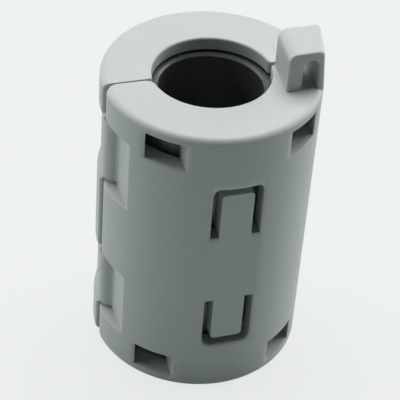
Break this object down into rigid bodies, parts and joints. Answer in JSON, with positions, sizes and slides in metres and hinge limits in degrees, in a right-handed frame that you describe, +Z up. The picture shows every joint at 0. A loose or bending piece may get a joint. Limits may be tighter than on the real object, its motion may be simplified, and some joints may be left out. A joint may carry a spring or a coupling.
{
  "type": "clip-on ferrite bead",
  "caption": "Clip-on ferrite bead: a hinged grey snap case around a split ferrite tube, closed over a cable to damp high-frequency noise.",
  "frame": {"origin": "centre of the lower end face, on the axis of the cable passage", "axes": "+Z up along the cable passage; the halves part on the XZ plane; hinges at -X, latch and tie loop at +X, front half at -Y"},
  "size_m": [0.0208, 0.0208, 0.0353],
  "materials": {
    "case_nylon": "moulded nylon with a fine matt surface",
    "ferrite": "sintered ferrite, dark and slightly satin"
  },
  "bodies": {
    "front_half": {"front_shell": "case_nylon", "front_core": "ferrite"},
    "rear_half": {"rear_shell": "case_nylon", "rear_core": "ferrite", "upper_hinge_strap": "case_nylon", "lower_hinge_strap": "case_nylon"}
  },
  "joints": [
    {"name": "case_hinge", "type": "hinge", "parent": "front_half", "child": "rear_half", "pos_m": [-0.0105, 0, 0.0159], "axis": [0, 0, 1], "range_deg": [0, 180], "deforming": ["upper_hinge_strap", "lower_hinge_strap"]}
  ]
}
